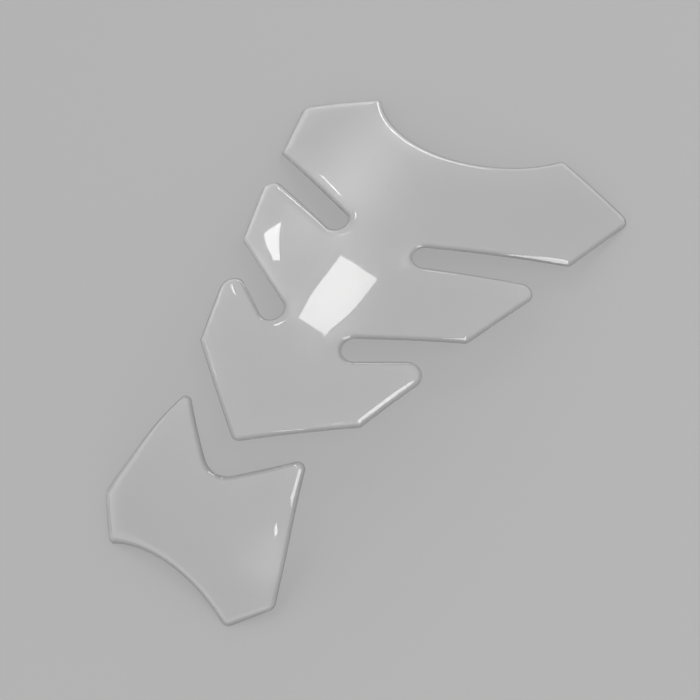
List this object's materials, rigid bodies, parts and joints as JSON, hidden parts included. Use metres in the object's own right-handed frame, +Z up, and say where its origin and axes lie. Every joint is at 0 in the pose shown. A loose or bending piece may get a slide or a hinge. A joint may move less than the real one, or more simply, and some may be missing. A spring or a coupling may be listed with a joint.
{
  "type": "motorcycle tank pad",
  "caption": "Clear domed resin tank pad for a motorcycle: a slotted spine-shaped upper pad and a notched lower pad that protect the tank from scratches.",
  "frame": {"origin": "middle of the set's bounding box, at the level of the lowest points of the glued backs", "axes": "+X across the tank to the rider's right, +Y along the tank towards the front, +Z up, off the tank"},
  "size_m": [0.18, 0.2522, 0.025],
  "materials": {
    "clear_resin": "polished"
  },
  "bodies": {
    "root": {"upper_pad": "clear_resin", "lower_pad": "clear_resin"}
  },
  "joints": []
}
